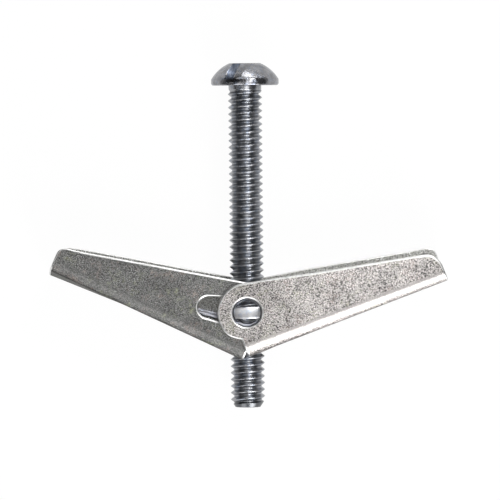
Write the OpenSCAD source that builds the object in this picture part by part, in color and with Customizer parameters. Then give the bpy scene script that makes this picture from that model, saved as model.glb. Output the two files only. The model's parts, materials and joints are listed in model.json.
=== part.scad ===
// Spring toggle bolt. A slotted mushroom-head screw carries a trunnion nut, two folded steel wings hinge on
// the nut's tabs, and a double torsion spring holds the wings open. All sizes are in millimetres.
//
// X runs across the open wings, Y along the screw towards its head and Z along the hinge axis. The origin is
// on the screw's axis, in the plane of the face under the head. The screw is drawn as a plain shank at its
// major diameter.

/* [Screw] */
// Length of the shank, from under the head to the tip
shank_length = 60; // [52:1:100]
// Major diameter of the thread
thread_d = 6.35; // [5:0.05:8]
// Length of the chamfer at the tip
tip_chamfer = 1.3; // [0.4:0.1:2]
// Radial depth of the chamfer at the tip
tip_chamfer_depth = 0.85; // [0.2:0.05:1.5]

/* [Head] */
// Diameter of the head
head_d = 12.6; // [11:0.1:18]
// Height of the head
head_h = 4.15; // [3.8:0.05:6]
// Height of the head's upright rim, up to where the dome begins
head_rim_h = 1.15; // [0.9:0.05:1.6]
// Rounding of the head's lower edge
head_edge_r = 0.45; // [0.1:0.05:0.8]
// Diameter of the flat crown on the dome
crown_d = 5.8; // [3:0.1:8]
// Width of the driver slot
slot_w = 1.7; // [0.8:0.1:2.4]
// Depth of the driver slot below the crown
slot_depth = 2.6; // [1.2:0.1:3]
// Turn of the driver slot from the hinge axis, in degrees
slot_turn = 28; // [0:1:180]

/* [Nut] */
// Distance from under the head to the hinge axis
nut_distance = 42.1; // [41.5:0.1:48]
// Length of the nut's plate across the wings
nut_plate_length = 10.4; // [9:0.1:11]
// Thickness of the nut's plate, and so of its necks and tabs
nut_plate_t = 2.1; // [1.5:0.1:2.6]
// Rounding of the nut plate's corners
nut_corner_r = 1; // [0.3:0.1:1.6]
// Wall round the threaded bore
nut_wall = 0.8; // [0.6:0.05:1.4]
// Length of the drawn collar below the plate
collar_length = 2.2; // [1:0.1:3]
// Countersink at both mouths of the bore
bore_chamfer = 0.35; // [0.1:0.05:0.5]
// Width of the necks that the spring is coiled round
neck_w = 2.6; // [2:0.1:3.2]
// Radius of the tabs that the ears hinge on
tab_r = 2.45; // [2.2:0.05:3.4]
// Distance that the tabs' crowned ends stay below the outer ears
tab_recess = 0.05; // [0:0.05:0.5]

/* [Wings] */
// Thickness of the wing's sheet
sheet_t = 1; // [0.7:0.05:1.3]
// Outer radius of the folds between the web and the ears
bend_r = 2.1; // [1.8:0.1:2.6]
// Metal round the hinge hole
ear_rim = 2.8; // [2:0.1:3.2]
// Distance from the hinge axis to the square end of the tip, along the web
wing_reach = 37; // [30:0.25:38.5]
// Taper between the web and the bearing edge, in degrees
wing_taper = 13; // [8:0.5:14]
// Rise of the bearing edge above square when the wing is open, in degrees
open_rise = 10; // [6:0.5:14]
// Lean of the wings and spring towards the right wing, within the play of the screw's notches, degrees
wing_lean = 1; // [0:0.25:1.5]
// Radius of the rounded nose
nose_r = 2.6; // [0.8:0.1:3.2]
// Length of the assembly slot in the inner ear, from the hinge axis to the centre of its far end
slot_reach = 7.25; // [5:0.1:9]
// Radius of the slot's far end
slot_end_r = 1.95; // [1.2:0.05:2.3]
// Fall of the slot below the bearing edge's direction, in degrees
slot_fall = 2; // [0:0.5:6]

/* [Spring] */
// Diameter of the spring's wire
wire_d = 0.8; // [0.6:0.05:1]
// Whole turns round each neck
coil_turns = 1; // [1:1:2]
// Rise of the legs above square when the wings are open, in degrees
leg_rise = 12; // [8:0.5:14]
// Radius of the two bends in the bridge that joins the coils
bridge_bend_r = 1.8; // [1.2:0.1:3]

/* [Fits] */
// Radial clearance between the thread and the nut's bore
bore_clearance = 0.05; // [0.05:0.01:0.1]
// Radial clearance between a tab and its hole
tab_clearance = 0.25; // [0.1:0.05:0.4]
// Clearance between a neck's corners and the coil
neck_clearance = 0.38; // [0.3:0.01:0.6]
// Gap between neighbouring turns, and between the coil and the nut's plate
turn_gap = 0.05; // [0.05:0.01:0.2]
// Gap between the coil and an inner ear
coil_side_gap = 0.12; // [0.1:0.01:0.3]
// Gap between the inner ear of one wing and the outer ear of the other
ear_gap = 0.12; // [0.1:0.01:0.3]
// Gap between the ear of one wing and the fold of the other, when both are folded
fold_gap = 0.5; // [0.2:0.05:1]
// Gap between the ends of the two webs, which meet to stop the wings
stop_gap = 0.3; // [0.25:0.05:0.6]
// Radial clearance between the thread and the notches in the webs
notch_clearance = 0.5; // [0.3:0.05:0.8]
// Gap between the legs' ends and the wing that they press on
leg_gap = 0.05; // [0.05:0.01:0.08]

/* [Hidden] */
$fn = 96;

// How far a cutting shape runs past the surface that it cuts
past = 1;

thread_r = thread_d / 2;
head_r = head_d / 2;
crown_r = crown_d / 2;
wire_r = wire_d / 2;

// The dome is the sphere through the crown's edge and the rim's upper edge.
dome_centre_h = (pow(crown_r, 2) + pow(head_h, 2) - pow(head_r, 2) - pow(head_rim_h, 2))
    / (2 * (head_h - head_rim_h));
dome_r = norm([crown_r, head_h - dome_centre_h]);

// Across the hinge, from the screw's axis outwards: bore, nut wall, coil, inner ear, outer ear.
bore_r = thread_r + bore_clearance;
nut_half_w = bore_r + nut_wall;
coil_r = norm([neck_w, nut_plate_t]) / 2 + neck_clearance + wire_r;
coil_sweep = 360 * coil_turns + 2 * leg_rise;
bridge_leg_z = nut_half_w + turn_gap + wire_r;
free_leg_z = bridge_leg_z + (wire_d + turn_gap) * coil_sweep / 360;
inner_ear_z = free_leg_z + wire_r + coil_side_gap;
outer_ear_z = inner_ear_z + sheet_t + ear_gap;
wing_side_z = outer_ear_z + sheet_t;

// A wing is drawn with the hinge axis at its origin and its web level below it.
ear_hole_r = tab_r + tab_clearance;
ear_r = ear_hole_r + ear_rim;
web_drop = ear_r + fold_gap + bend_r;
web_inner_drop = web_drop - sheet_t;
web_rise = open_rise + wing_taper;
fold_inner_r = bend_r - sheet_t;
heel_x = (stop_gap / 2 - web_inner_drop * sin(web_rise)) / cos(web_rise);

// The nose is a circle that touches the square tip and the bearing edge.
nose_x = wing_reach - nose_r;
nose_y = (ear_r - nose_r - nose_x * sin(wing_taper)) / cos(wing_taper);

// The legs end where the wire would touch the fold between the web and an ear.
fold_room = fold_inner_r - wire_r;
leg_lift = fold_inner_r - sqrt(pow(fold_room - leg_gap, 2) - pow(fold_room - coil_side_gap, 2));
leg_to_web = web_rise - leg_rise;
leg_length = (web_inner_drop - leg_lift - coil_r * cos(leg_to_web)) / sin(leg_to_web);

// ---- Screw ----

// Half of the head's section: an upright rim with a rounded lower edge under a spherical dome
module head_section() {
    intersection() {
        translate([0, dome_centre_h]) circle(r = dome_r);
        union() {
            square([head_r - head_edge_r, head_h]);
            translate([0, head_edge_r]) square([head_r, head_h - head_edge_r]);
            translate([head_r - head_edge_r, head_edge_r]) circle(r = head_edge_r);
        }
    }
}

module screw() {
    color("lightsteelblue") rotate([-90, 0, 0]) {
        difference() {
            rotate_extrude() head_section();
            translate([0, 0, head_h - slot_depth])
                rotate([0, 0, 90 - slot_turn])
                    translate([-head_r - past, -slot_w / 2, 0])
                        cube([head_d + 2 * past, slot_w, slot_depth + past]);
        }
        translate([0, 0, tip_chamfer - shank_length])
            cylinder(h = shank_length - tip_chamfer + head_edge_r, r = thread_r);
        translate([0, 0, -shank_length])
            cylinder(h = tip_chamfer, r1 = thread_r - tip_chamfer_depth, r2 = thread_r);
    }
}

// ---- Nut ----

module at_hinge(turn = 0) {
    translate([0, -nut_distance, 0]) rotate([0, 0, turn]) children();
}

// The plate's outline, seen along the screw
module nut_plate_outline() {
    straight_x = nut_plate_length - 2 * nut_corner_r;
    straight_z = 2 * (nut_half_w - nut_corner_r);
    square([nut_plate_length, straight_z], center = true);
    square([straight_x, 2 * nut_half_w], center = true);
    for (x = [-1, 1], z = [-1, 1])
        translate([x * straight_x / 2, z * straight_z / 2]) circle(r = nut_corner_r);
}

// A pair of necks carries a pair of tabs whose edges are arcs about the hinge axis.
module hinge_bar() {
    linear_extrude(2 * inner_ear_z, center = true) square([neck_w, nut_plate_t], center = true);
    intersection() {
        difference() {
            linear_extrude(2 * wing_side_z, center = true) intersection() {
                circle(r = tab_r);
                square([2 * tab_r, nut_plate_t], center = true);
            }
            cube([2 * tab_r + past, nut_plate_t + past, 2 * (inner_ear_z - leg_gap)], center = true);
        }
        sphere(r = wing_side_z - tab_recess);
    }
}

module bore_cutter() {
    top = nut_plate_t / 2;
    bottom = -top - collar_length;
    translate([0, 0, bottom - past])
        cylinder(h = top - bottom + 2 * past, r = bore_r);
    translate([0, 0, top - bore_chamfer])
        cylinder(h = bore_chamfer, r1 = bore_r, r2 = bore_r + bore_chamfer);
    translate([0, 0, bottom])
        cylinder(h = bore_chamfer, r1 = bore_r + bore_chamfer, r2 = bore_r);
}

module trunnion_nut() {
    color("silver") at_hinge() difference() {
        union() {
            rotate([-90, 0, 0]) {
                linear_extrude(nut_plate_t, center = true) nut_plate_outline();
                translate([0, 0, -nut_plate_t / 2 - collar_length])
                    cylinder(h = collar_length + nut_plate_t / 2, r = nut_half_w);
            }
            hinge_bar();
        }
        rotate([-90, 0, 0]) bore_cutter();
    }
}

// ---- Wings ----

// A block with two rounded lower corners, whose underside is on the X axis
module trough_block(width, depth, corner_r) {
    translate([-width / 2, corner_r]) square([width, depth - corner_r]);
    translate([-width / 2 + corner_r, 0]) square([width - 2 * corner_r, depth]);
    for (side = [-1, 1])
        translate([side * (width / 2 - corner_r), corner_r]) circle(r = corner_r);
}

// The folded sheet: a web with a wall along each side, running along X and long enough for the
// round ears
module channel() {
    width = wing_side_z + inner_ear_z + sheet_t;
    middle_z = wing_side_z - width / 2;
    depth = web_drop + ear_r;
    translate([-ear_r, -web_drop, middle_z]) rotate([0, 90, 0])
        linear_extrude(wing_reach + ear_r) difference() {
            trough_block(width, depth, bend_r);
            translate([0, sheet_t]) trough_block(width - 2 * sheet_t, depth, fold_inner_r);
        }
}

// The wing's outline, seen along the hinge axis: a round ear, a sloping bearing edge, a rounded nose,
// and ends cut square to the web
module wing_outline() {
    edge_normal = [sin(wing_taper), cos(wing_taper)];
    circle(r = ear_r);
    translate([nose_x, nose_y]) circle(r = nose_r);
    polygon([
        [heel_x, -web_drop],
        [wing_reach, -web_drop],
        [wing_reach, nose_y],
        [nose_x, nose_y],
        [nose_x, nose_y] + nose_r * edge_normal,
        ear_r * edge_normal,
        [heel_x, 0]
    ]);
}

// Two circles on one centre line, joined by the straight lines that touch both
module tapered_slot(length, start_r, end_r) {
    lean = asin((start_r - end_r) / length);
    touch = [sin(lean), cos(lean)];
    below = [sin(lean), -cos(lean)];
    far = [length, 0];
    circle(r = start_r);
    translate(far) circle(r = end_r);
    polygon([start_r * touch, far + end_r * touch, far + end_r * below, start_r * below]);
}

module wing() {
    difference() {
        intersection() {
            channel();
            linear_extrude(2 * (wing_side_z + past), center = true) wing_outline();
        }
        // Hinge hole in the outer ear
        translate([0, 0, inner_ear_z]) cylinder(h = wing_side_z, r = ear_hole_r);
        // Assembly slot in the inner ear
        translate([0, 0, -wing_side_z]) rotate([0, 0, -wing_taper - slot_fall])
            linear_extrude(wing_side_z) tapered_slot(slot_reach, ear_hole_r, slot_end_r);
        // Notch in the web's end, round the screw when the wing is open
        rotate([0, 0, -web_rise]) rotate([90, 0, 0])
            cylinder(h = web_drop + ear_r, r = thread_r + notch_clearance);
    }
}

module right_wing() {
    color("gainsboro") at_hinge(-wing_lean) rotate([0, 0, web_rise]) wing();
}

module left_wing() {
    color("gainsboro") at_hinge(-wing_lean) rotate([0, 180, 0]) rotate([0, 0, web_rise]) wing();
}

// ---- Spring ----

// A station on the wire is [point, direction, side], where side is square to the direction.
function turn_left(v) = [-v[1], v[0], 0];
function station(point, along) = [point, along, turn_left(along)];

// The free leg runs inwards and down to the coil, which goes round the neck to the bridge's leg.
free_leg_along = [cos(leg_rise), -sin(leg_rise), 0];
bridge_leg_along = [cos(leg_rise), sin(leg_rise), 0];
coil_start_angle = 270 - leg_rise;
coil_steps = ceil(coil_sweep / 20);

function coil_station(i) =
    let (
        part = i / coil_steps,
        angle = coil_start_angle + part * coil_sweep,
        z = free_leg_z + part * (bridge_leg_z - free_leg_z)
    )
    station([coil_r * cos(angle), coil_r * sin(angle), z], [-sin(angle), cos(angle), 0]);

function coil_point(i) = coil_station(i)[0];

// The bridge turns from the leg's direction to the hinge's, in the plane of both.
bridge_bend_steps = 6;
function bridge_bend_station(i) =
    let (
        angle = 90 * i / bridge_bend_steps,
        leg_end = coil_point(coil_steps) + (leg_length - bridge_bend_r) * bridge_leg_along,
        across = [0, 0, -1]
    )
    [
        leg_end + bridge_bend_r * (sin(angle) * bridge_leg_along + (1 - cos(angle)) * across),
        cos(angle) * bridge_leg_along + sin(angle) * across,
        turn_left(bridge_leg_along)
    ];

front_half = concat(
    [station(coil_point(0) - leg_length * free_leg_along, free_leg_along)],
    [for (i = [0:coil_steps]) coil_station(i)],
    [for (i = [0:bridge_bend_steps]) bridge_bend_station(i)]
);

// The back half is the front half's mirror image, followed the other way.
function mirrored(s) = [
    [s[0][0], s[0][1], -s[0][2]],
    [-s[1][0], -s[1][1], s[1][2]],
    s[2]
];
wire_path = concat(front_half, [for (i = [len(front_half) - 1:-1:0]) mirrored(front_half[i])]);

module swept_wire(path, radius, sides) {
    points = [
        for (s = path, k = [0:sides - 1])
            let (a = 360 * k / sides)
            s[0] + radius * (cos(a) * s[2] + sin(a) * cross(s[1], s[2]))
    ];
    last = (len(path) - 1) * sides;
    walls = [
        for (i = [0:len(path) - 2], k = [0:sides - 1])
            let (
                a = i * sides + k,
                b = i * sides + (k + 1) % sides
            )
            each [[a, b, b + sides], [a, b + sides, a + sides]]
    ];
    start_cap = [for (k = [0:sides - 1]) sides - 1 - k];
    end_cap = [for (k = [0:sides - 1]) last + k];
    polyhedron(points, concat(walls, [start_cap], [end_cap]));
}

module torsion_spring() {
    color("darkgray") at_hinge(-wing_lean) swept_wire(wire_path, wire_r, 8);
}

screw();
trunnion_nut();
left_wing();
right_wing();
torsion_spring();
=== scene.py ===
"""Spring toggle bolt: a threaded screw, a trunnion nut, two folded wings and a torsion spring,
finished in zinc plate on a pale floor. Lengths are in metres. X runs across the wings, Y towards
the screw's head and Z up."""

import json
import math

import bmesh
import bpy
from mathutils import Matrix, Quaternion, Vector
from mathutils.geometry import delaunay_2d_cdt


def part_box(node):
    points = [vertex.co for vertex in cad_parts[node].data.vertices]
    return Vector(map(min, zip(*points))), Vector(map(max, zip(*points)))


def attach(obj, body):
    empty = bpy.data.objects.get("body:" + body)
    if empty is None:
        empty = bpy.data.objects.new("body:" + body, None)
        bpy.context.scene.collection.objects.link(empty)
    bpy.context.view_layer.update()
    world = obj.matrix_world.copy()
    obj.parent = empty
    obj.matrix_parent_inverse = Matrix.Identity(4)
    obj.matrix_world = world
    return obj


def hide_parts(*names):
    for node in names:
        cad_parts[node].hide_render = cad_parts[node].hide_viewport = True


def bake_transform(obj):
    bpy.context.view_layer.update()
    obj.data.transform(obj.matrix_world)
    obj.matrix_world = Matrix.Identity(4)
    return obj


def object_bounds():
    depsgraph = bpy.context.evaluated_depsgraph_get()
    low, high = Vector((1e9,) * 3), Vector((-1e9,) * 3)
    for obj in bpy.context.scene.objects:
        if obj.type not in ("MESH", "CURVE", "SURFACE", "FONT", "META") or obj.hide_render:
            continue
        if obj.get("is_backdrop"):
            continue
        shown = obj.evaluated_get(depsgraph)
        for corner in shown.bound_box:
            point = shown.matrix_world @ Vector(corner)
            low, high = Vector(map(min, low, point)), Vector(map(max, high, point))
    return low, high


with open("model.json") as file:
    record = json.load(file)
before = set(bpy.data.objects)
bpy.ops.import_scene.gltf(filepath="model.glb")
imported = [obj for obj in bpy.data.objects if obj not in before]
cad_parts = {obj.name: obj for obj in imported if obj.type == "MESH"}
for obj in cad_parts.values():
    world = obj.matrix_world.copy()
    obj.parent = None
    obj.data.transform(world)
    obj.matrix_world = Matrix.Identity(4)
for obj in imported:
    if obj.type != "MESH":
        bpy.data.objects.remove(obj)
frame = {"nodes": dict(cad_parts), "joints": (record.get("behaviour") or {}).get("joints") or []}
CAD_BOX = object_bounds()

bl_info = {
    "name": "Spring toggle bolt",
    "version": (1, 0, 0),
    "blender": (4, 5, 0),
    "location": "3D View > Sidebar > Toggle bolt",
    "description": "Makes a zinc-plated spring toggle bolt on its packed frame",
    "category": "Object",
}

MM = 0.001
QUARTER_TURN = math.pi / 2.0
FULL_TURN = 2.0 * math.pi
HINGE = Vector(next(j for j in frame["joints"] if j["name"] == "right_wing_fold")["pos_m"])
SCREW_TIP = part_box("screw")[0].y


# ---- Node trees ----


class Wire:
    """A node's output that Python's arithmetic works on: each operator adds its Math node."""

    def __init__(self, nodes, socket):
        self.nodes = nodes
        self.socket = socket

    def output(self, name):
        """Another output of the same node."""
        return Wire(self.nodes, self.socket.node.outputs[name])

    def math(self, operation, *others):
        return self.nodes.add("ShaderNodeMath", {"operation": operation}, self, *others)

    def __add__(self, other):
        return self.math("ADD", other)

    __radd__ = __add__

    def __sub__(self, other):
        return self.math("SUBTRACT", other)

    def __rsub__(self, other):
        return self.nodes.add("ShaderNodeMath", {"operation": "SUBTRACT"}, other, self)

    def __mul__(self, other):
        return self.math("MULTIPLY", other)

    __rmul__ = __mul__

    def __truediv__(self, other):
        return self.math("DIVIDE", other)

    def __neg__(self):
        return self.math("MULTIPLY", -1.0)

    def __abs__(self):
        return self.math("ABSOLUTE")

    def clamped(self):
        """The value kept between 0 and 1."""
        return self.math("MAXIMUM", 0.0).math("MINIMUM", 1.0)

    def ramp(self, start, end):
        """0 before start, 1 past end and straight between them."""
        return ((self - start) / (end - start)).clamped()


class Nodes:
    """Adds nodes to a tree. A colour is three numbers."""

    def __init__(self, tree):
        self.tree = tree

    def add(self, kind, settings, *values, out=0, **named):
        """Adds a node, applies its settings, then gives its sockets values or links, in order or
        by name. The result is the output that is asked for, where the node has one."""
        node = self.tree.nodes.new(kind)
        for key, value in settings.items():
            setattr(node, key, value)
        for socket, value in zip(node.inputs, values):
            self.feed(socket, value)
        for key, value in named.items():
            self.feed(node.inputs[key.replace("_", " ")], value)
        return Wire(self, node.outputs[out]) if node.outputs else None

    def feed(self, socket, value):
        if isinstance(value, Wire):
            self.tree.links.new(value.socket, socket)
        elif value is not None:
            socket.default_value = (*value, 1.0) if socket.type == "RGBA" else value

    def mix(self, factor, a, b):
        """A colour between a and b."""
        numbers_and_vectors = [None] * 5
        return self.add(
            "ShaderNodeMix", {"data_type": "RGBA"}, factor, *numbers_and_vectors, a, b, out=2
        )


class Finish(Nodes):
    """The node tree of one metal finish, measured in millimetres on the piece."""

    def __init__(self, name):
        self.material = bpy.data.materials.new(name)
        self.material.use_nodes = True
        super().__init__(self.material.node_tree)
        self.shader = self.tree.nodes["Principled BSDF"]
        metres = self.add("ShaderNodeTexCoord", {}, out="Object")
        self.place = self.add(
            "ShaderNodeVectorMath", {"operation": "SCALE"}, metres, Scale=1.0 / MM
        )

    def noise(self, per_mm, detail=2.0, roughness=0.5):
        """Cloudy noise from 0 to 1, with that many cells to a millimetre."""
        return self.add(
            "ShaderNodeTexNoise", {}, Vector=self.place, Scale=per_mm, Detail=detail,
            Roughness=roughness,
        )

    def specks(self, per_mm):
        """Crystal grains, each with its own value from 0 to 1, with that many to a millimetre."""
        cells = self.add("ShaderNodeTexVoronoi", {}, Vector=self.place, Scale=per_mm, out="Color")
        return self.add("ShaderNodeSeparateXYZ", {}, cells)

    def bump(self, height, strength, depth_mm, under=None):
        return self.add(
            "ShaderNodeBump", {}, Height=height, Strength=strength, Distance=depth_mm * MM,
            Normal=under,
        )

    def set(self, **sockets):
        for key, value in sockets.items():
            self.feed(self.shader.inputs[key.replace("_", " ")], value)
        return self.material


# ---- Finishes ----


def scaled(colour, factor):
    """The colour made darker or brighter, at most white."""
    return tuple(min(1.0, channel * factor) for channel in colour)


def zinc_sheet(name, colour, contrast, sparkle, stain, bend_polish_and_highlight=0.0, hinge_shade=0.0):
    """Plated sheet steel: fine crystals over soft clouds, with faint olive and rosy stains and
    painted glints. The bends are polished and carry a painted highlight, painted shade darkens them
    where they meet the web, and painted shade can darken the sheet towards the hinge."""
    finish = Finish(name)
    grain = finish.noise(4.5, detail=1.0, roughness=0.6)
    crystals = finish.specks(6.5)
    clouds = finish.noise(0.22, detail=3.0)
    # Painted glints: clustered specks three times as light as the colour, standing in for crystals
    # catching the light.
    painted_glints = finish.noise(5.5, detail=0.0).ramp(0.62, 0.7) * clouds.ramp(0.35, 0.55)
    base = finish.mix(
        (grain * 0.45 + crystals * 0.55).ramp(0.3, 0.7),
        scaled(colour, 1.0 - contrast), scaled(colour, 1.0 + contrast),
    )
    base = finish.mix(clouds.ramp(0.4, 0.75) * 0.2, base, scaled(colour, 1.0 + contrast))
    stains = finish.noise(0.3, detail=4.0, roughness=0.65)
    spots = finish.noise(2.1, detail=2.0, roughness=0.8).ramp(0.45, 0.62) * stain
    base = finish.mix(stains.ramp(0.52, 0.66) * spots, base, OLIVE)
    base = finish.mix((1.0 - stains.ramp(0.36, 0.48)) * spots * 0.5, base, ROSY)
    base = finish.mix(painted_glints, base, scaled(colour, 3.0))
    # The fold attribute is 1 on the bends, -1 where they meet the web, and 0 elsewhere.
    fold = finish.add("ShaderNodeAttribute", {"attribute_name": "fold"}, out="Fac")
    from_hinge = finish.add(
        "ShaderNodeVectorMath", {"operation": "DISTANCE"}, finish.place, tuple(HINGE / MM),
        out="Value",
    )
    # Painted shade: the colour darkens towards the hinge, as strongly as asked, and by 60% where
    # the bends meet the web.
    shade = (1.0 - from_hinge.ramp(16.0, 3.0) * hinge_shade) * (1.0 - (-fold).clamped() * 0.6)
    base = finish.add("ShaderNodeVectorMath", {"operation": "SCALE"}, base, Scale=shade)
    # The bends are polished and carry a painted highlight: their colour turns lighter and smoother,
    # and their roughness falls.
    polished_and_highlit = fold.clamped() * bend_polish_and_highlight
    base = finish.mix(polished_and_highlit, base, scaled(colour, 1.2))
    return finish.set(
        Base_Color=base,
        Metallic=1.0,
        Roughness=0.52 - grain.ramp(0.45, 0.7) * 0.2 + clouds * 0.06 - polished_and_highlit * 0.1,
        Normal=finish.bump(grain * 0.6 + crystals * 0.4, sparkle, 0.05),
        Specular_Tint=(0.4, 0.4, 0.4),
    )


def sheared_edge(name, dark, light):
    """The rounded edge that the blanking tool leaves, with small nicks. Its colour is far lighter
    than the faces', a painted highlight along the rims.
    """
    finish = Finish(name)
    nicks = finish.noise(2.6, detail=3.0, roughness=0.7)
    return finish.set(
        Base_Color=finish.mix(nicks.ramp(0.3, 0.7), dark, light),
        Metallic=1.0,
        Roughness=0.24 + nicks * 0.16,
        Normal=finish.bump(nicks, 0.3, 0.03),
    )


def bright_zinc(name, dark, light, roughness, pit_depth=0.02, dents=0.0, painted_shade_below=None):
    """Plated bar steel: smooth, with fine pits, soft dents and a cloudy bluish cast. Below a given
    height in millimetres, near the screw's tip, painted shade darkens the colour."""
    finish = Finish(name)
    clouds = finish.noise(0.8, detail=4.0, roughness=0.6)
    pits = finish.noise(7.0, detail=2.0)
    base = finish.mix(clouds.ramp(0.32, 0.68), dark, light)
    bluish = tuple(channel * cast for channel, cast in zip(light, BLUE_CAST))
    base = finish.mix(
        finish.noise(1.4, detail=2.0, roughness=0.7).ramp(0.5, 0.68) * 0.5, base, bluish
    )
    base = finish.mix(pits.ramp(0.6, 0.75) * 0.4, base, scaled(dark, 0.6))
    if painted_shade_below is not None:
        height = finish.add("ShaderNodeSeparateXYZ", {}, finish.place, out="Y")
        # Painted shade on the screw's tip.
        tip_shade = height.ramp(painted_shade_below + 0.2, painted_shade_below - 0.2) * 0.8
        base = finish.mix(tip_shade, base, scaled(dark, 0.3))
    dented = finish.bump(finish.noise(0.55), dents, 0.2)
    return finish.set(
        Base_Color=base,
        Metallic=1.0,
        Roughness=roughness + clouds * 0.12,
        Normal=finish.bump(pits, 0.35, pit_depth, dented),
    )


OLIVE = (0.4, 0.42, 0.26)
ROSY = (0.6, 0.44, 0.37)
BLUE_CAST = (0.62, 0.76, 0.98)

# Each finish's maker, the names of its colours in the settings, and the rest of its look
FINISHES = {
    # The two wings are the same zinc. The left wing's darker colour and weaker contrast are painted
    # shade, and the right wing's lighter colour and stronger contrast are painted light from the
    # right.
    "wing_zinc_left": (
        zinc_sheet, ["left_wing"], dict(contrast=0.55, sparkle=0.5, stain=0.5, bend_polish_and_highlight=0.4)
    ),
    "wing_zinc_right": (
        zinc_sheet, ["right_wing"],
        dict(contrast=0.95, sparkle=0.9, stain=0.5, bend_polish_and_highlight=0.8, hinge_shade=0.38),
    ),
    "wing_inside": (zinc_sheet, ["wing_inside"], dict(contrast=0.5, sparkle=0.6, stain=0.2)),
    "sheared_edge": (sheared_edge, ["edge_dark", "edge_light"], {}),
    "thread_zinc": (
        bright_zinc, ["thread_dark", "thread_light"],
        dict(roughness=0.24, painted_shade_below=SCREW_TIP / MM + 1.2),
    ),
    "head_zinc": (bright_zinc, ["head_dark", "head_light"], dict(roughness=0.2, dents=0.9)),
    "slot_zinc": (bright_zinc, ["slot_dark", "slot_light"], dict(roughness=0.3)),
    "nut_zinc": (bright_zinc, ["nut_dark", "nut_light"], dict(roughness=0.24)),
    "spring_wire": (
        bright_zinc, ["spring_dark", "spring_light"], dict(roughness=0.25, pit_depth=0.01)
    ),
}


def finish_named(name):
    """The finish of that name, made the first time that it is asked for."""
    made = bpy.data.materials.get(name)
    if made:
        return made
    maker, colours, look = FINISHES[name]
    settings = bpy.context.scene.toggle_finishes
    return maker(name, *(getattr(settings, colour) for colour in colours), **look)


# ---- Meshes ----


def merged_copy(node):
    """A copy of a CAD node's mesh, with its loose triangles joined."""
    bm = bmesh.new()
    bm.from_mesh(frame["nodes"][node].data)
    bmesh.ops.remove_doubles(bm, verts=bm.verts, dist=0.001 * MM)
    return bm


def new_object(name, data):
    """A new object in the scene."""
    made = bpy.data.objects.new(name, data)
    bpy.context.scene.collection.objects.link(made)
    return made


def fill_mesh(mesh, bm, sharp_degrees):
    """Puts a closed surface in the mesh, smooth except across edges sharper than that."""
    if not all(edge.is_manifold for edge in bm.edges):
        raise RuntimeError(mesh.name + " has a gap in its surface")
    bm.to_mesh(mesh)
    bm.free()
    mesh.shade_smooth()
    mesh.set_sharp_from_angle(angle=math.radians(sharp_degrees))


def object_from(bm, name, materials, sharp_degrees=35.0):
    """An object with that surface and those finishes."""
    mesh = bpy.data.meshes.new(name)
    fill_mesh(mesh, bm, sharp_degrees)
    for material in materials:
        mesh.materials.append(finish_named(material))
    return new_object(name, mesh)


def stand_for(piece, node, body):
    """The piece takes the CAD node's place and rides on its body."""
    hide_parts(node)
    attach(piece, body)


def share(value, start, end):
    """How far a value has come from start to end, from 0 to 1."""
    return min(1.0, max(0.0, (value - start) / (end - start)))


# ---- Settings ----


def length(name, description, millimetres):
    return bpy.props.FloatProperty(
        name=name, description=description, default=millimetres * MM, unit="LENGTH", precision=5
    )


def angle(name, description, degrees):
    return bpy.props.FloatProperty(
        name=name, description=description, default=math.radians(degrees), subtype="ANGLE"
    )


def tint(name, description, colour):
    return bpy.props.FloatVectorProperty(
        name=name, description=description, default=colour, min=0.0, max=1.0, subtype="COLOR"
    )


class FinishSettings(bpy.types.PropertyGroup):
    """Colours of the zinc plating on each part."""

    # Lit and shaded copies of one zinc: the left wing's colour is painted shade and the right
    # wing's is painted light.
    left_wing: tint("Left wing", "Zinc outside the left wing", (0.128, 0.128, 0.125))
    right_wing: tint("Right wing", "Zinc outside the right wing", (0.33, 0.314, 0.305))
    wing_inside: tint("Wing inside", "Zinc inside both wings", (0.38, 0.378, 0.36))
    # The edges' light colours are a painted highlight along the rims.
    edge_dark: tint("Edges, dark", "Nicks in the sheared edges", (0.56, 0.56, 0.55))
    edge_light: tint("Edges, light", "Brightest of the sheared edges", (0.84, 0.84, 0.83))
    thread_dark: tint("Thread, dark", "Cloudy zinc on the thread", (0.21, 0.217, 0.228))
    thread_light: tint("Thread, light", "Clear zinc on the thread", (0.4, 0.405, 0.42))
    head_dark: tint("Head, dark", "Cloudy zinc on the head", (0.155, 0.155, 0.163))
    head_light: tint("Head, light", "Clear zinc on the head", (0.32, 0.32, 0.333))
    # The slot's dark colours are painted shade in the recess.
    slot_dark: tint("Slot, dark", "Cloudy zinc in the slot", (0.06, 0.073, 0.1))
    slot_light: tint("Slot, light", "Clear zinc in the slot", (0.17, 0.19, 0.235))
    nut_dark: tint("Nut, dark", "Cloudy zinc on the nut", (0.6, 0.6, 0.61))
    nut_light: tint("Nut, light", "Clear zinc on the nut", (0.78, 0.78, 0.79))
    spring_dark: tint("Spring, dark", "Cloudy zinc on the spring", (0.25, 0.25, 0.27))
    spring_light: tint("Spring, light", "Clear zinc on the spring", (0.37, 0.37, 0.4))


class ThreadSettings(bpy.types.PropertyGroup):
    """Sizes of the screw's thread and driver slot."""

    diameter: length("Diameter", "Outside diameter of the thread", 6.35)
    pitch: length("Pitch", "Distance from crest to crest", 1.2374)
    depth: length("Depth", "Depth from crest to root", 0.62)
    first_crest: length("First crest", "Distance from the head to the first crest, on top", 1.325)
    plain_neck: length("Plain neck", "Length under the head where the thread fades out", 1.1)
    chamfer: length("Chamfer", "Length of the chamfer at the tip", 1.3)
    slot_turn: angle("Slot turn", "Turn of the driver slot about the screw", 28.0)
    slot_width: length("Slot width", "Width of the driver slot", 1.7)
    around: bpy.props.IntProperty(
        name="Sides", description="Faces round one turn of the thread", default=64, min=24, max=96
    )
    rows: bpy.props.IntProperty(
        name="Rows", description="Rows of faces from one crest to the next", default=16, min=8,
        max=16,
    )


class NutSettings(bpy.types.PropertyGroup):
    """Rounding of the nut's edges."""

    edge_radius: length("Edge radius", "Rounding of the nut's edges", 0.15)


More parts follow.
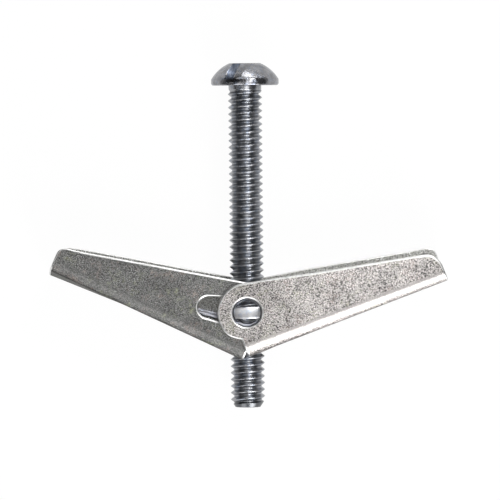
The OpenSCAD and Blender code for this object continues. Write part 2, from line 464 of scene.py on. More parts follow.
class WingSettings(bpy.types.PropertyGroup):
    """Sizes of a folded wing."""

    sheet: length("Sheet", "Thickness of the sheet", 1.0)
    bend_radius: length("Bend radius", "Outside radius of the folds", 2.1)
    reach: length("Reach", "Distance from the hinge to the tip", 36.8)
    web_drop: length("Web drop", "Distance from the hinge down to the web's outside", 8.1)
    taper: angle("Taper", "Slope of the bearing edge against the web", 13.0)
    open_rise: angle("Open rise", "Rise of the bearing edge when the wing is open", 10.0)
    lean: angle("Lean", "Lean of the wings and their spring towards the right wing", 1.0)
    twist: length("Twist", "Difference between the web's two folds, at the heel", 0.8)
    twist_centre: length("Twist centre", "Distance from the hinge where the web is square", 12.0)
    skew: angle("Skew", "Tilt across the fold of the right wing's bearing edges", 2.1)
    ear_radius: length("Ear radius", "Radius of the ears", 5.5)
    hole_radius: length("Hole radius", "Radius of the hinge hole", 2.7)
    nose_radius: length("Nose radius", "Radius of the rounded tip", 2.6)
    slot_reach: length("Slot reach", "Distance from the hinge to the far end's centre", 7.25)
    slot_end: length("Slot end", "Radius of the slot's far end", 1.95)
    slot_fall: angle("Slot fall", "Fall of the slot below the bearing edge", 2.0)
    notch_radius: length("Notch radius", "Radius of the notch round the screw", 3.675)
    stop_gap: length("Stop gap", "Gap between the heels of the two webs", 0.3)
    outer_edge: length("Outer edge", "Rounding of the sheared edges on the outer face", 0.28)
    inner_edge: length("Inner edge", "Rounding of the sheared edges on the inner face", 0.12)


class SpringSettings(bpy.types.PropertyGroup):
    """Sizes of the torsion spring's wire."""

    wire: length("Wire", "Diameter of the wire", 0.8)
    coil_radius: length("Coil radius", "Radius of the coils, to the middle of the wire", 2.451)
    turn_pitch: length("Turn pitch", "Distance from one turn to the next", 0.85)
    leg_length: length("Leg length", "Length of the legs, from the coil", 20.3)
    leg_bow: length("Leg bow", "Bow of the loaded free legs", 0.5)
    leg_rise: angle("Leg rise", "Rise of the legs above square", 12.0)
    bridge_bend: length("Bridge bend", "Radius of the bends in the bridge", 1.8)


class StageSettings(bpy.types.PropertyGroup):
    """The camera and the lights."""

    camera_distance: length("Camera distance", "Distance from the camera to the bolt", 1000.0)
    view_width: length("View width", "Width of the camera's view at the bolt", 93.3)
    camera_tilt: angle("Camera tilt", "Lean of the view towards the head", 1.76)
    camera_roll: angle("Camera roll", "Turn of the camera about its own view", -0.57)
    light: bpy.props.FloatProperty(
        name="Light", description="Strength of all the lamps", default=1.0, min=0.0, max=4.0
    )


# ---- Screw ----


THREAD_INPUTS = {
    "Length": "Float", "Radius": "Float", "Pitch": "Float", "Depth": "Float",
    "First crest": "Float", "Plain neck": "Float", "Chamfer": "Float", "Sunk": "Float",
    "Sides": "Int", "Rows": "Int", "Turns": "Int",
}
CREST_ROUNDING = 0.18
ROOT_ROUNDING = 0.34
CHAMFER_SLOPE = 0.65
NECK_STEP = 0.12 * MM
SHANK_SUNK = 0.4 * MM
# The shank stops just short of the box's end.
TIP_CLEARANCE = 0.005 * MM
# Turns of rows that lie past the tip and past the head, so that every column closes
SPARE_TURNS = 5


def softened(value, width):
    """Rounds the start of a straight rise from 0 to 1."""
    rise = (value * value + width * width).math("SQRT") - width
    return rise / (math.sqrt(1.0 + width * width) - width)


def thread_tree(material):
    """A node group that makes a threaded shank along -Y, from a grid sheared so that its rows
    follow the thread."""
    tree = bpy.data.node_groups.new("thread", "GeometryNodeTree")
    for name, kind in THREAD_INPUTS.items():
        tree.interface.new_socket(name, in_out="INPUT", socket_type="NodeSocket" + kind)
    tree.interface.new_socket("Geometry", in_out="OUTPUT", socket_type="NodeSocketGeometry")
    nodes = Nodes(tree)
    given = nodes.add("NodeGroupInput", {})
    size = {name: given.output(name) for name in THREAD_INPUTS}
    pitch = size["Pitch"]
    plain = size["Plain neck"]
    grid = nodes.add(
        "GeometryNodeMeshGrid", {}, 1.0, 1.0,
        size["Sides"] + 1.0, size["Rows"] * size["Turns"] + 1.0,
    )
    flat = nodes.add("ShaderNodeSeparateXYZ", {}, nodes.add("GeometryNodeInputPosition", {}))
    across = flat + 0.5
    along = (flat.output("Y") + 0.5) * size["Turns"]
    # The rows start on the left, past the tip, a quarter turn and some whole turns from the
    # first crest on top.
    whole = ((size["Length"] - size["First crest"]) / pitch).math("FLOOR")
    start = -size["First crest"] - (whole + 3.25) * pitch
    height = start + (along + across) * pitch
    away = 1.0 - abs(along.math("FRACT") * 2.0 - 1.0)
    ridge = softened(1.0 - softened(away, CREST_ROUNDING), ROOT_ROUNDING)
    # The thread forms between 0.6 and 1.4 of the plain neck, which is a little thinner.
    formed = ((-height - plain * 0.6) / (plain * 0.8)).clamped()
    outside = size["Radius"] - NECK_STEP + formed * NECK_STEP
    radius = outside - size["Depth"] * formed * (1.0 - ridge)
    from_tip = height + size["Length"]
    blunt = size["Radius"] - size["Chamfer"] * CHAMFER_SLOPE
    radius = radius.math("MINIMUM", blunt + from_tip.clamped() * CHAMFER_SLOPE)
    # Past either end, the rows close on the axis within a pitch.
    past_tip = ((-from_tip).clamped() / (pitch * 0.8)).clamped()
    past_top = ((height - size["Sunk"]).clamped() / (pitch * 0.5)).clamped()
    radius = radius * (1.0 - past_tip) * (1.0 - past_top)
    place = height.math("MAXIMUM", -size["Length"]).math("MINIMUM", size["Sunk"])
    turn = (across - 0.25) * FULL_TURN
    point = nodes.add(
        "ShaderNodeCombineXYZ", {}, radius * turn.math("SINE"), place,
        radius * turn.math("COSINE"),
    )
    moved = nodes.add("GeometryNodeSetPosition", {}, Geometry=grid, Position=point)
    joined = nodes.add("GeometryNodeMergeByDistance", {}, Geometry=moved, Distance=0.002 * MM)
    real = nodes.add("GeometryNodeRealizeInstances", {}, Geometry=joined)
    done = nodes.add("GeometryNodeSetMaterial", {}, Geometry=real, Material=material)
    nodes.add("NodeGroupOutput", {}, done)
    return tree


def grown(tree, name, inputs, sharp_degrees):
    """An object with the mesh that the node group makes with those inputs."""
    piece = new_object(name, bpy.data.meshes.new(name))
    modifier = piece.modifiers.new(name, "NODES")
    modifier.node_group = tree
    for item in tree.interface.items_tree:
        if item.item_type == "SOCKET" and item.in_out == "INPUT":
            modifier[item.identifier] = inputs[item.name]
    seen = piece.evaluated_get(bpy.context.evaluated_depsgraph_get())
    mesh = bpy.data.meshes.new_from_object(seen)
    piece.modifiers.remove(modifier)
    bm = bmesh.new()
    bm.from_mesh(mesh)
    bmesh.ops.dissolve_degenerate(bm, dist=0.0001 * MM, edges=bm.edges)
    bmesh.ops.recalc_face_normals(bm, faces=bm.faces)
    fill_mesh(mesh, bm, sharp_degrees)
    piece.data = mesh
    return piece


class TOGGLE_OT_screw(bpy.types.Operator):
    """Make the screw's threaded shank and its slotted head"""

    bl_idname = "toggle.screw"
    bl_label = "Screw"

    def execute(self, context):
        settings = context.scene.toggle_thread
        shank = grown(thread_tree(finish_named("thread_zinc")), "screw_shank", {
            "Length": -SCREW_TIP - TIP_CLEARANCE,
            "Radius": settings.diameter / 2.0,
            "Pitch": settings.pitch,
            "Depth": settings.depth,
            "First crest": settings.first_crest,
            "Plain neck": settings.plain_neck,
            "Chamfer": settings.chamfer,
            "Sunk": SHANK_SUNK,
            "Sides": settings.around,
            "Rows": settings.rows,
            "Turns": math.ceil(-SCREW_TIP / settings.pitch) + SPARE_TURNS,
        }, 70.0)
        stand_for(shank, "screw", "screw")
        bm = merged_copy("screw")
        keep_head(bm)
        mark_slot(bm, settings)
        head = object_from(bm, "screw_head", ["head_zinc", "slot_zinc"], 30.0)
        stand_for(head, "screw", "screw")
        return {"FINISHED"}


def keep_head(bm):
    """Cuts the shank off the CAD screw, just above the head's flat side, and closes the cut."""
    cut = bmesh.ops.bisect_plane(
        bm, geom=bm.verts[:] + bm.edges[:] + bm.faces[:], plane_co=(0.0, 0.01 * MM, 0.0),
        plane_no=(0.0, 1.0, 0.0), clear_inner=True,
    )
    border = [part for part in cut["geom_cut"] if isinstance(part, bmesh.types.BMEdge)]
    bmesh.ops.holes_fill(bm, edges=border)


def mark_slot(bm, settings):
    """Gives the driver slot's walls and floor, well above the flat side, the second finish, whose
    darker colour is painted shade in the slot.
    """
    lowest = 1.0 * MM
    half_width = settings.slot_width / 2.0 + 0.005 * MM
    across = Vector((math.cos(settings.slot_turn), 0.0, math.sin(settings.slot_turn)))
    for face in bm.faces:
        centre = face.calc_center_median()
        if abs(centre.dot(across)) < half_width and centre.y > lowest:
            face.material_index = 1


# ---- Nut ----


def round_edges(bm, radius, smallest_turn=40.0):
    """Rounds the edges where the surface turns by more than that many degrees."""
    bmesh.ops.dissolve_limit(
        bm, angle_limit=math.radians(0.5), verts=bm.verts, edges=bm.edges,
        use_dissolve_boundaries=False,
    )
    sharp = [
        edge for edge in bm.edges
        if len(edge.link_faces) == 2 and edge.calc_face_angle(0.0) > math.radians(smallest_turn)
    ]
    bmesh.ops.bevel(
        bm, geom=sharp, offset=radius, offset_type="OFFSET", segments=3, profile=0.5,
        affect="EDGES", clamp_overlap=True, loop_slide=True, material=-1,
    )


class TOGGLE_OT_nut(bpy.types.Operator):
    """Make the trunnion nut, with its pressed edges rounded"""

    bl_idname = "toggle.nut"
    bl_label = "Trunnion nut"

    def execute(self, context):
        bm = merged_copy("trunnion_nut")
        round_edges(bm, context.scene.toggle_nut.edge_radius)
        nut = object_from(bm, "nut_body", ["nut_zinc"])
        stand_for(nut, "trunnion_nut", "nut")
        return {"FINISHED"}


# ---- Wings ----


class Blank:
    """The flat blank of a wing, before it is folded: u runs across the fold, from the back ear to
    the front ear, and x along the wing. Lengths are in metres and the hinge axis crosses x at 0."""

    def __init__(self, settings, front, back):
        self.sheet = settings.sheet
        self.bend = settings.bend_radius - self.sheet / 2.0
        self.bend_length = self.bend * QUARTER_TURN
        self.drop = settings.web_drop
        front_web = front - settings.bend_radius
        back_web = back - settings.bend_radius
        self.middle = (front_web - back_web) / 2.0
        self.half_web = (front_web + back_web) / 2.0
        self.bend_y = settings.bend_radius - self.drop
        self.wall_start = self.half_web + self.bend_length
        self.twist = settings.twist
        self.twist_centre = settings.twist_centre

    def u_at(self, y, side):
        """The u of a height on the front (1) or back (-1) wall."""
        return side * (self.wall_start + y - self.bend_y)

    def folded(self, u, x, height):
        """The folded place of a spot on the blank, that far outside the middle of the sheet. The
        inner ear's fold is lower at the heel and higher at the tip than the outer ear's."""
        place = self.squarely_folded(u, x, height)
        across = (place.z - self.middle) / (self.half_web + self.bend)
        # The ears stay square: the twist comes in from 0.2 to 0.6 of the way down to the web.
        low = share(place.y, -0.2 * self.drop, -0.6 * self.drop)
        eased = low * low * (3.0 - 2.0 * low)
        place.y += 0.5 * self.twist * (1.0 - x / self.twist_centre) * across * eased
        return place

    def squarely_folded(self, u, x, height):
        """The folded place where both folds are the same."""
        side = 1.0 if u > 0 else -1.0
        past = abs(u) - self.half_web
        centre = self.middle + side * self.half_web
        if past <= 0.0:
            return Vector((x, -self.drop + self.sheet / 2.0 - height, self.middle + u))
        reach = self.bend + height
        if past < self.bend_length:
            turn = past / self.bend
            out = side * reach * math.sin(turn)
            return Vector((x, self.bend_y - reach * math.cos(turn), centre + out))
        return Vector((x, self.bend_y + past - self.bend_length, centre + side * reach))

    def fold_at(self, u):
        """The fold attribute of a spot: 1 on the bends, -1 where they meet the web, 0 elsewhere."""
        across = (abs(u) - self.half_web) / self.bend_length
        return min(1.0, 2.7 * across - 1.0) if -0.001 < across < 1.001 else 0.0


def arc(cx, cy, radius, start, end, step=0.3 * MM):
    """Points along an arc, with both ends."""
    count = max(2, math.ceil(abs(end - start) * radius / step))
    turns = [start + (end - start) * i / count for i in range(count + 1)]
    return [(cx + radius * math.cos(t), cy + radius * math.sin(t)) for t in turns]


def sides_of(loop):
    """Each corner of a closed loop with the one after it."""
    return zip(loop, loop[1:] + loop[:1])


def filled(corners, step=0.35 * MM, long_step=1.0 * MM, bulge=2e-5 * MM):
    """The corners of a closed loop, with points put between those that lie far apart. The points
    bulge out by a few thousandths of a millimetre, so that no three lie on one line."""
    shortest = 0.0001 * MM
    loop = []
    for (x0, y0), (x1, y1) in sides_of(corners):
        span = math.hypot(x1 - x0, y1 - y0)
        if span < shortest:
            continue
        lengthwise = abs(y1 - y0) > abs(x1 - x0)
        count = max(1, round(span / (long_step if lengthwise else step)))
        for i in range(count):
            part = i / count
            out = bulge * count * count * part * (1.0 - part) / span
            loop.append((
                x0 + (x1 - x0) * part + (y1 - y0) * out,
                y0 + (y1 - y0) * part - (x1 - x0) * out,
            ))
    return loop


def inset(loop, distance):
    """The loop moved to its left by that distance, with sharp corners kept."""
    moved = []
    for k, (x, y) in enumerate(loop):
        here, before, after = (Vector(loop[n % len(loop)]) for n in (k, k - 1, k + 1))
        first = (here - before).normalized()
        second = (after - here).normalized()
        middle = first + second
        normal = Vector((-middle.y, middle.x)).normalized()
        stretch = max(0.5, normal.dot(Vector((-first.y, first.x))))
        moved.append((x + normal.x * distance / stretch, y + normal.y * distance / stretch))
    return moved


def oriented(loop, anticlockwise):
    """The loop, turned round if it doesn't run that way."""
    area = sum(x0 * y1 - x1 * y0 for (x0, y0), (x1, y1) in sides_of(loop))
    return loop if (area > 0) == anticlockwise else loop[::-1]


def inside(loop, x, y):
    """Whether the point lies in the loop."""
    crossings = 0
    for (x0, y0), (x1, y1) in sides_of(loop):
        if (y0 > y) != (y1 > y) and x < x0 + (y - y0) * (x1 - x0) / (y1 - y0):
            crossings += 1
    return crossings % 2 == 1


OPENING_STEP = 0.25 * MM


def outline(blank, settings):
    """The blank's outline: both walls, and between them the notch round the screw."""
    ear = settings.ear_radius
    taper = settings.taper
    nose = settings.nose_radius
    rise = taper + settings.open_rise
    inner_drop = blank.drop - blank.sheet
    heel = (settings.stop_gap / 2.0 - inner_drop * math.sin(rise)) / math.cos(rise)
    nose_x = settings.reach - nose
    nose_y = (ear - nose - nose_x * math.sin(taper)) / math.cos(taper)
    ear_foot = math.pi + math.asin(math.sqrt(1.0 - (heel / ear) ** 2))
    # One wall's outline, from the heel round the ear and the nose to the square tip
    wall = arc(0.0, 0.0, ear, ear_foot, QUARTER_TURN - taper)
    wall += arc(nose_x, nose_y, nose, QUARTER_TURN - taper, 0.0)
    front = [(blank.u_at(y, 1), x) for x, y in wall]
    back = [(blank.u_at(y, -1), x) for x, y in reversed(wall)]
    # The notch crosses the web on a slant.
    notch = settings.notch_radius
    centre = -(blank.drop - blank.sheet / 2.0) * math.tan(rise)
    stretch = notch / math.cos(rise)
    edge = math.acos(min(1.0, (heel - centre) / stretch))
    steps = 30
    turns = [edge - 2.0 * edge * i / steps for i in range(steps + 1)]
    gap = [(-notch * math.sin(t) - blank.middle, centre + stretch * math.cos(t)) for t in turns]
    return filled(oriented(front + back + gap, True))


def hinge_hole(blank, settings):
    """The round hole in the front ear."""
    circle = arc(0.0, 0.0, settings.hole_radius, 0.0, FULL_TURN, OPENING_STEP)[:-1]
    return oriented([(blank.u_at(y, 1), x) for x, y in circle], False)


def hinge_slot(blank, settings):
    """The hole in the back ear, drawn out along the wing to a smaller far end."""
    fall = -settings.taper - settings.slot_fall
    narrowing = settings.hole_radius - settings.slot_end
    side = QUARTER_TURN - math.asin(narrowing / settings.slot_reach)
    far = (settings.slot_reach * math.cos(fall), settings.slot_reach * math.sin(fall))
    slot = arc(
        0.0, 0.0, settings.hole_radius, fall + side, fall + FULL_TURN - side, OPENING_STEP
    )
    slot += arc(*far, settings.slot_end, fall - side, fall + side, OPENING_STEP)
    return filled(oriented([(blank.u_at(y, -1), x) for x, y in slot], False))


def rim_section(settings):
    """A sheared edge's rounded section, as (inset, height) from the outer to the inner face."""
    half = settings.sheet / 2.0
    outer, inner = settings.outer_edge, settings.inner_edge
    support = 0.05 * MM
    section = [(outer + support, half)]
    for turn in (QUARTER_TURN * i / 5.0 for i in range(6)):
        section.append((outer * (1.0 - math.sin(turn)), half - outer * (1.0 - math.cos(turn))))
    for turn in (QUARTER_TURN * i / 3.0 for i in range(4)):
        section.append((inner * (1.0 - math.cos(turn)), -half + inner * (1.0 - math.sin(turn))))
    return section + [(inner + support, -half)]


def row_places(blank):
    """Where rows of points cross the blank, to carry the bends and keep the triangles small."""
    walls = (-1, 1)
    bend_steps = 10
    places = [
        side * (blank.half_web + blank.bend_length * i / bend_steps)
        for side in walls for i in range(bend_steps + 1)
    ]
    places += [blank.half_web * i / 4.0 for i in range(-3, 4)]
    places += [side * (blank.wall_start + 1.2 * MM * i) for side in walls for i in range(1, 10)]
    places += [side * (blank.wall_start + 0.35 * MM) for side in walls]
    return places


def in_metal(borders, u, x):
    """Whether the spot lies in the outline and in none of the openings."""
    return all(inside(border, u, x) == (n == 0) for n, border in enumerate(borders))


def row_of_spots(u, borders, reach):
    """Spots in the metal along the wing, clear of the borders."""
    heel = -5.0 * MM
    clear = 0.25 * MM
    steps = 60
    row = []
    for i in range(steps + 1):
        x = heel + (reach - heel) * i / steps
        if in_metal(borders, u, x) and all(
            (u - bu) ** 2 + (x - bx) ** 2 > clear ** 2 for border in borders for bu, bx in border
        ):
            row.append((u, x))
    return row


def triangles_between(points, edges, border_sides, borders):
    """Triangles of the metal within the borders, each as its three points' numbers."""
    spots, _, triangles, sources, _, _ = delaunay_2d_cdt(
        [Vector(point) / MM for point in points], edges, [], 0, 0.0
    )
    for triangle in triangles:
        numbers = [sources[k][0] for k in triangle]
        sides = list(sides_of(numbers))
        middle = sum((spots[k] for k in triangle), Vector((0.0, 0.0))) * MM / 3.0
        # A triangle on a border lies on the side that its own direction says.
        within = any(side in border_sides for side in sides)
        beyond = any(side[::-1] in border_sides for side in sides)
        if within or not beyond and in_metal(borders, *middle):
            yield numbers


class WingSheet:
    """A folded wing with rounded sheared edges, in its own frame."""

    def __init__(self, settings, front, back):
        self.blank = Blank(settings, front, back)
        self.reach = settings.reach
        self.bm = bmesh.new()
        self.fold = self.bm.verts.layers.float.new("fold")
        openings = [hinge_hole(self.blank, settings), hinge_slot(self.blank, settings)]
        loops = [outline(self.blank, settings)] + openings
        section = rim_section(settings)
        rims = [self.rim(loop, section) for loop in loops]
        # The outer face takes the first finish and the inner face the third.
        for end, finish in ((0, 0), (-1, 2)):
            distance, height = section[end]
            borders = [inset(loop, distance) for loop in loops]
            verts = [vert for rings in rims for vert in rings[end]]
            for corners in self.face(borders, verts, height):
                made = self.bm.faces.new(corners if end == 0 else corners[::-1])
                made.material_index = finish
        bmesh.ops.recalc_face_normals(self.bm, faces=self.bm.faces)

    def placed(self, u, x, height):
        """A new vertex for a spot of the blank."""
        vert = self.bm.verts.new(self.blank.folded(u, x, height))
        vert[self.fold] = self.blank.fold_at(u)
        return vert

    def rim(self, loop, section):
        """Rings of vertices round a sheared edge, joined by faces of the second finish."""
        rings = [
            [self.placed(u, x, height) for u, x in inset(loop, distance)]
            for distance, height in section
        ]
        for ring, following in zip(rings, rings[1:]):
            for (a, b), (c, d) in zip(sides_of(ring), sides_of(following)):
                self.bm.faces.new((a, c, d, b)).material_index = 1
        return rings

    def face(self, borders, verts, height):
        """The corners of each triangle of one face, whose borders have their vertices already."""
        blank = self.blank
        points = [spot for border in borders for spot in border]
        border_sides = []
        for border in borders:
            start = len(border_sides)
            numbers = list(range(start, start + len(border)))
            border_sides += list(sides_of(numbers))
        rows = []
        for u in row_places(blank):
            spots = row_of_spots(u, borders, self.reach)
            numbers = range(len(points), len(points) + len(spots))
            points += spots
            verts += [self.placed(*spot, height) for spot in spots]
            if blank.half_web - 1e-6 < abs(u) < blank.wall_start + 1e-6:
                rows += list(zip(numbers, numbers[1:]))
        chosen = triangles_between(points, border_sides + rows, set(border_sides), borders)
        return [[verts[k] for k in numbers] for numbers in chosen]


def skew_walls(bm, settings):
    """Tilts the walls past the ears, so that one bearing edge stands higher than the other."""
    for vert in bm.verts:
        past_ear = share(vert.co.x, 6.0 * MM, 14.0 * MM)
        up_wall = share(vert.co.y + settings.web_drop, 2.2 * MM, 4.2 * MM)
        vert.co.y -= vert.co.z * math.tan(settings.skew) * past_ear * up_wall


class TOGGLE_OT_wings(bpy.types.Operator):
    """Make the two folded wings, with their sheared edges rounded and given a painted highlight"""

    bl_idname = "toggle.wings"
    bl_label = "Wings"

    def execute(self, context):
        settings = context.scene.toggle_wings
        low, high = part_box("right_wing")
        for side, flip in (("right", 0.0), ("left", math.pi)):
            node = side + "_wing"
            bm = WingSheet(settings, high.z, -low.z).bm
            if side == "right":
                skew_walls(bm, settings)
            turn = Matrix.Rotation(-settings.lean, 4, "Z") @ Matrix.Rotation(flip, 4, "Y")
            turn = turn @ Matrix.Rotation(settings.taper + settings.open_rise, 4, "Z")
            bm.transform(Matrix.Translation(HINGE) @ turn)
            # Each side's outer finish carries painted light: lighter on the right wing and darker
            # on the left.
            finishes = ["wing_zinc_" + side, "sheared_edge", "wing_inside"]
            wing = object_from(bm, node + "_sheet", finishes, 60.0)
            stand_for(wing, node, node)
        return {"FINISHED"}


# ---- Spring ----


def turned_left(v):
    """A direction square to Z, turned a quarter turn anticlockwise about it."""
    return Vector((-v.y, v.x, 0.0))


def wire_piece(name, stations, radius, sides=16):
    """A round wire along stations of point, direction and side, leaning as the wings do."""
    bm = bmesh.new()
    rings = []
    turns = [FULL_TURN * k / sides for k in range(sides)]
    for point, along, side in stations:
        other = along.cross(side)
        rings.append([
            bm.verts.new(point + radius * (math.cos(t) * side + math.sin(t) * other))
            for t in turns
        ])
    for ring, following in zip(rings, rings[1:]):
        for (a, b), (c, d) in zip(sides_of(ring), sides_of(following)):
            bm.faces.new((a, b, d, c))
    bm.faces.new(reversed(rings[0]))
    bm.faces.new(rings[-1])
    bmesh.ops.recalc_face_normals(bm, faces=bm.faces)
    lean = Matrix.Rotation(-bpy.context.scene.toggle_wings.lean, 4, "Z")
    bm.transform(Matrix.Translation(HINGE) @ lean @ Matrix.Translation(-HINGE))
    return object_from(bm, name, ["spring_wire"])


def mirrored(stations):
    """The stations on the other side of the screw, in the opposite order."""
    return [
        (Vector((point.x, point.y, -point.z)), Vector((-along.x, -along.y, along.z)), side)
        for point, along, side in reversed(stations)
    ]


def coil_stations(settings, top):
    """The front coil, from its free leg at the top to the bridge."""
    rise = settings.leg_rise
    radius = settings.coil_radius
    sweep = FULL_TURN + 2.0 * rise
    fall = settings.turn_pitch * sweep / FULL_TURN
    steps = 40
    stations = []
    for i in range(steps + 1):
        turn = 1.5 * math.pi - rise + sweep * i / steps
        along = Vector((-math.sin(turn), math.cos(turn), 0.0))
        arm = Vector((radius * math.cos(turn), radius * math.sin(turn), top - fall * i / steps))
        stations.append((HINGE + arm, along, turned_left(along)))
    return stations


def leg_stations(settings, coil_start):
    """The front leg, which bows under its load, from its free end to the coil."""
    inwards = Vector((math.cos(settings.leg_rise), -math.sin(settings.leg_rise), 0.0))
    left = turned_left(inwards)
    leg = settings.leg_length
    bow = settings.leg_bow
    steps = 24
    stations = []
    for i in range(steps + 1):
        part = i / steps
        point = coil_start - inwards * leg * (1.0 - part)
        point += left * bow * math.sin(math.pi * part)
        slope = bow * math.pi / leg * math.cos(math.pi * part)
        along = (inwards + left * slope).normalized()
        stations.append((point, along, turned_left(along)))
    return stations


def bridge_stations(settings, coil_end):
    """The bridge, from the front coil out, round its two bends and back to the back coil."""
    outwards = Vector((math.cos(settings.leg_rise), math.sin(settings.leg_rise), 0.0))
    left = turned_left(outwards)
    across = Vector((0.0, 0.0, -1.0))
    bend = settings.bridge_bend
    straight = settings.leg_length - bend
    leg_steps, bend_steps = 12, 8
    half = [
        (coil_end + outwards * straight * i / leg_steps, outwards, left) for i in range(leg_steps)
    ]
    for i in range(bend_steps + 1):
        turn = QUARTER_TURN * i / bend_steps
        point = coil_end + outwards * straight
        point += bend * (math.sin(turn) * outwards + (1.0 - math.cos(turn)) * across)
        half.append((point, math.cos(turn) * outwards + math.sin(turn) * across, left))
    return half + mirrored(half)


class TOGGLE_OT_spring(bpy.types.Operator):
    """Make the double torsion spring: two coils, two free legs and the bridge"""

    bl_idname = "toggle.spring"
    bl_label = "Torsion spring"

    def execute(self, context):
        settings = context.scene.toggle_spring
        radius = settings.wire / 2.0
        coil = coil_stations(settings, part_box("torsion_spring")[1].z - radius)
        leg = leg_stations(settings, coil[0][0])
        pieces = {
            "spring_front_coil": coil,
            "spring_back_coil": mirrored(coil),
            "spring_front_leg": leg,
            "spring_back_leg": mirrored(leg),
            "spring_bridge": bridge_stations(settings, coil[-1][0]),
        }
        for name, stations in pieces.items():
            piece = wire_piece(name, stations, radius)
            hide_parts("torsion_spring")
            if "coil" in name:
                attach(piece, "nut")
            else:
                wing, out = ("right_wing", 1.0) if "bridge" in name else ("left_wing", -1.0)
                bend_start = HINGE + Vector((0.5 * MM * out, 0.0, 0.0))
                bend_end = HINGE + Vector((2.5 * MM * out, 0.0, 0.0))
                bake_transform(piece)
        return {"FINISHED"}


# ---- Stage ----


LAMP_TARGET = Vector((0.0, -30.0 * MM, 0.0))
CAMERA_TARGET = Vector((0.65 * MM, -30.7 * MM, 0.0))
FLOOR_GAP = 0.05 * MM

# Each lamp's place, width and height in metres, and its power in watts
LAMPS = {
    "key_lamp": ((0.048, 0.02, 0.165), 0.06, 0.1, 0.085),
    "strip_lamp": ((0.03, -0.03, 0.3), 0.03, 0.3, 0.04),
    "left_strip_lamp": ((-0.13, -0.03, 0.2), 0.03, 0.3, 0.04),
    "front_lamp": ((0.04, -0.16, 0.2), 0.06, 0.06, 0.06),
    "right_fold_lamp": ((0.088, -0.255, 0.1), 0.1, 0.4, 1.15),
    "left_fold_lamp": ((-0.088, -0.255, 0.1), 0.1, 0.4, 0.36),
    "head_lamp": ((0.13, 0.4, 0.1), 0.28, 0.1, 0.65),
    "dome_lamp": ((0.14, 0.22, 0.3), 0.08, 0.06, 0.48),
    "edge_lamp": ((-0.02, 0.25, 0.2), 0.24, 0.1, 0.13),
}


def soft_lamp(name, place, width, height, watts):
    """A rectangular lamp that faces the bolt."""
    data = bpy.data.lights.new(name, "AREA")
    data.shape = "RECTANGLE"
    data.size = width
    data.size_y = height
    data.energy = watts
    lamp = new_object(name, data)
    lamp.location = place
    lamp.rotation_euler = (LAMP_TARGET - Vector(place)).to_track_quat("-Z", "Y").to_euler()


def shown(nodes):
    """1 where the camera looks straight at a surface, sees it in metal or sees it through glass."""
    camera = nodes.add("ShaderNodeLightPath", {}, out="Is Camera Ray")
    glossy, through = camera.output("Is Glossy Ray"), camera.output("Is Transmission Ray")
    return (camera + glossy + through).clamped()


def pale_floor(height):
    """A white floor that keeps a faint shadow of the bolt."""
    bpy.ops.mesh.primitive_plane_add(size=4.0, location=(0.0, 0.0, height))
    floor = bpy.context.object
    floor.name = "floor"
    finish = Finish("floor_white")
    finish.set(Base_Color=(0.9, 0.9, 0.9), Roughness=0.9)
    glow = finish.add("ShaderNodeEmission", {}, (1.0, 1.0, 1.0), 1.0)
    lit = Wire(finish, finish.shader.outputs["BSDF"])
    mixed = finish.add("ShaderNodeMixShader", {}, shown(finish) * 0.97, lit, glow)
    finish.feed(finish.tree.nodes["Material Output"].inputs["Surface"], mixed)
    floor.data.materials.append(finish.material)
    floor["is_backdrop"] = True


def studio_world():
    """A studio with pale walls and a dim ceiling, a little brighter on the right."""
    world = bpy.data.worlds.new("studio")
    bpy.context.scene.world = world
    world.use_nodes = True
    nodes = Nodes(world.node_tree)
    direction = nodes.add("ShaderNodeTexCoord", {}, out="Generated")
    rightward = nodes.add("ShaderNodeSeparateXYZ", {}, direction)
    upward = rightward.output("Z")
    ceiling = nodes.mix(rightward.ramp(-0.5, 1.0), (0.01, 0.01, 0.013), (0.06, 0.06, 0.062))
    colour = nodes.mix(upward.ramp(0.02, 0.3), (0.5, 0.5, 0.51), ceiling)
    nodes.feed(world.node_tree.nodes["Background"].inputs["Color"], colour)


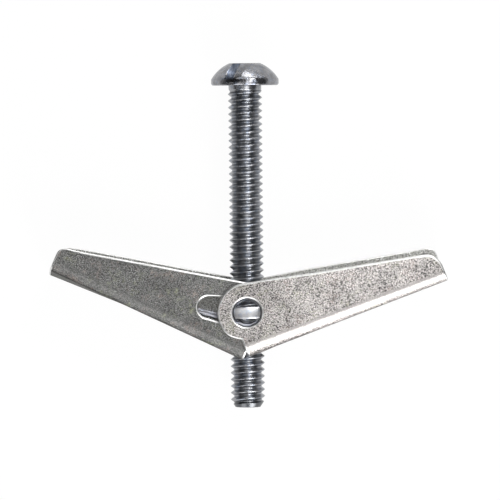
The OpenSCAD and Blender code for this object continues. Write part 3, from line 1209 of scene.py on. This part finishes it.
def studio_camera(settings):
    """The camera, which looks down on the bolt and leans a little towards its head."""
    data = bpy.data.cameras.new("camera")
    data.lens = data.sensor_width * settings.camera_distance / settings.view_width
    data.clip_start = 0.01
    data.clip_end = 10.0
    camera = new_object("camera", data)
    tilt = settings.camera_tilt
    back = Vector((0.0, math.sin(tilt), math.cos(tilt)))
    tilted = Quaternion((1.0, 0.0, 0.0), -tilt)
    rolled = Quaternion((0.0, 0.0, 1.0), settings.camera_roll)
    camera.location = CAMERA_TARGET + back * settings.camera_distance
    camera.rotation_euler = (tilted @ rolled).to_euler()
    return camera


class TOGGLE_OT_stage(bpy.types.Operator):
    """Make the floor, the studio lamps and the camera"""

    bl_idname = "toggle.stage"
    bl_label = "Stage"

    def execute(self, context):
        scene = context.scene
        settings = scene.toggle_stage
        scene.view_settings.view_transform = "Standard"
        pale_floor(CAD_BOX[0].z - FLOOR_GAP)
        studio_world()
        for name, (place, width, height, watts) in LAMPS.items():
            soft_lamp(name, place, width, height, watts * settings.light)
        scene.camera = studio_camera(settings)
        return {"FINISHED"}


# ---- Add-on ----


class TOGGLE_PT_panel(bpy.types.Panel):
    """Lists the sizes and colours, and the steps that make the bolt"""

    bl_idname = "TOGGLE_PT_panel"
    bl_label = "Toggle bolt"
    bl_space_type = "VIEW_3D"
    bl_region_type = "UI"
    bl_category = "Toggle bolt"

    def draw(self, context):
        for name in SETTINGS:
            group = getattr(context.scene, name)
            box = self.layout.box()
            for key in group.__annotations__:
                box.prop(group, key)
        for step in STEPS:
            self.layout.operator(step.bl_idname)


SETTINGS = {
    "toggle_finishes": FinishSettings,
    "toggle_thread": ThreadSettings,
    "toggle_nut": NutSettings,
    "toggle_wings": WingSettings,
    "toggle_spring": SpringSettings,
    "toggle_stage": StageSettings,
}
STEPS = (TOGGLE_OT_stage, TOGGLE_OT_screw, TOGGLE_OT_nut, TOGGLE_OT_wings, TOGGLE_OT_spring)
CLASSES = (*SETTINGS.values(), *STEPS, TOGGLE_PT_panel)


def register():
    for cls in CLASSES:
        bpy.utils.register_class(cls)
    for name, cls in SETTINGS.items():
        setattr(bpy.types.Scene, name, bpy.props.PointerProperty(type=cls))


def unregister():
    for name in SETTINGS:
        delattr(bpy.types.Scene, name)
    for cls in reversed(CLASSES):
        bpy.utils.unregister_class(cls)


def main():
    register()
    for step in STEPS:
        group, name = step.bl_idname.split(".")
        getattr(getattr(bpy.ops, group), name)()
    boxes = {"cad": CAD_BOX, "visual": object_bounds()}
    {key: [list(corner) for corner in box] for key, box in boxes.items()}


if __name__ == "__main__":
    main()
